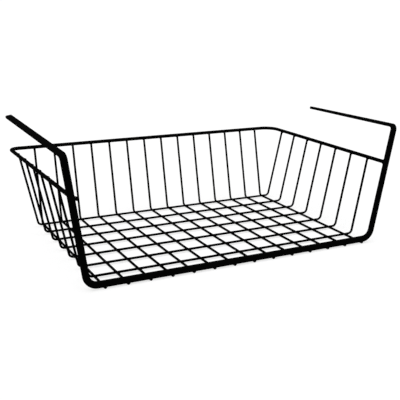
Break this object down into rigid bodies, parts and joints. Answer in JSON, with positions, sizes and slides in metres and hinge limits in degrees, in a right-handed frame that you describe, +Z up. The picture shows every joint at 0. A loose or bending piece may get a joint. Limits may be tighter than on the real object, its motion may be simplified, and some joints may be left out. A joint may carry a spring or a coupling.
{
  "type": "under-shelf storage basket",
  "caption": "Open-front wire storage basket hung from a flat strip hanger: bent-wire floor and walls, a thicker rim wire, and two arms that lie on a shelf board.",
  "frame": {"origin": "on the ground, under the centre of the part's bounding box; the basket stands on its lengthways floor wires", "axes": "+Z up, +X from the left arm to the right arm as seen from the open front, +Y from the open front to the back wall"},
  "size_m": [0.4316, 0.264, 0.1545],
  "materials": {
    "wire_coating": "satin black coating on steel wire",
    "rim_coating": "satin black coating on thick steel wire",
    "strip_coating": "satin black coating on flat steel strip"
  },
  "bodies": {
    "root": {"crosswise_wire_1": "wire_coating", "crosswise_wire_2": "wire_coating", "crosswise_wire_3": "wire_coating", "crosswise_wire_4": "wire_coating", "crosswise_wire_5": "wire_coating", "crosswise_wire_6": "wire_coating", "crosswise_wire_7": "wire_coating", "lengthways_wire_1": "wire_coating", "lengthways_wire_2": "wire_coating", "lengthways_wire_3": "wire_coating", "lengthways_wire_4": "wire_coating", "lengthways_wire_5": "wire_coating", "lengthways_wire_6": "wire_coating", "lengthways_wire_7": "wire_coating", "lengthways_wire_8": "wire_coating", "lengthways_wire_9": "wire_coating", "lengthways_wire_10": "wire_coating", "lengthways_wire_11": "wire_coating", "lengthways_wire_12": "wire_coating", "lengthways_wire_13": "wire_coating", "lengthways_wire_14": "wire_coating", "rim_wire": "rim_coating", "hanger_strip": "strip_coating"}
  },
  "joints": []
}
